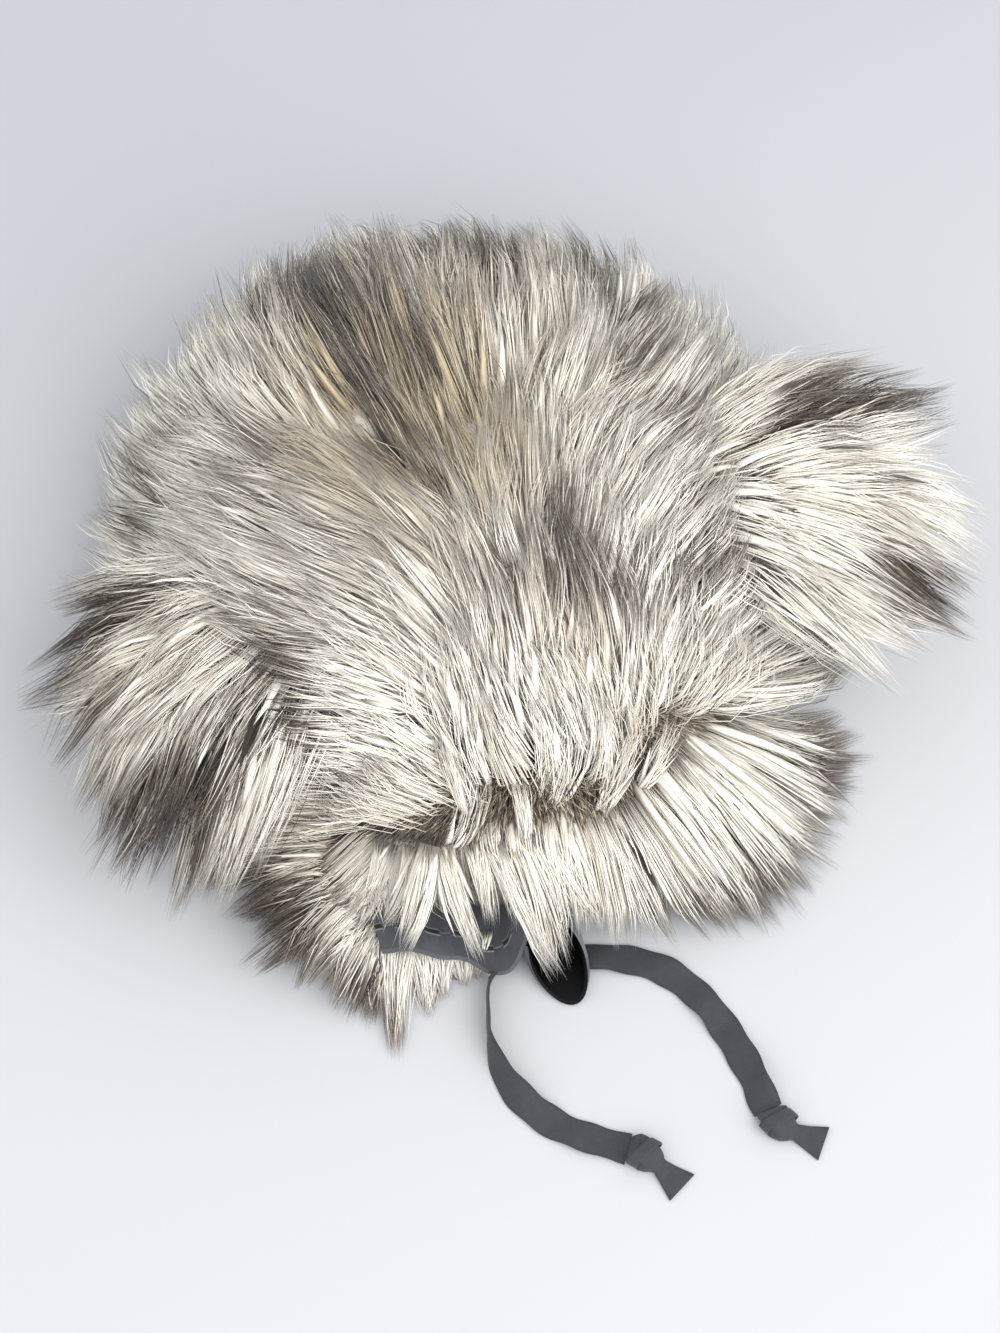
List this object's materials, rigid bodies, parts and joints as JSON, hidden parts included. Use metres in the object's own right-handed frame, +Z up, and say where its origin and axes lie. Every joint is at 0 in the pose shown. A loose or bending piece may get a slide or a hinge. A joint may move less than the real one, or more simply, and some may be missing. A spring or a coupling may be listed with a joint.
{
  "type": "faux fur bonnet with ears",
  "caption": "Long-pile faux fur baby bonnet with soft fur ears, smooth grey lining and knotted tape ties, standing on its neck edge.",
  "frame": {"origin": "middle of the bonnet's footprint, on the surface that it stands on, without its ties", "axes": "+Z up, +X towards the bonnet's right ear as seen from the front, -Y out of the face opening"},
  "size_m": [0.306, 0.3513, 0.1194],
  "materials": {
    "fur": "long soft pile, ivory and taupe with dark tips",
    "lining_cloth": "smooth slate grey lining cloth with a soft sheen",
    "tape": "matt woven tape"
  },
  "bodies": {
    "root": {"crown_fur": "fur", "brim_fur": "fur", "chin_fur": "fur", "ear_left": "fur", "ear_right": "fur", "lining": "lining_cloth", "chin_lining": "lining_cloth", "tie_left": "tape", "tie_right": "tape", "tie_left_knot": "tape", "tie_right_knot": "tape"}
  },
  "joints": []
}
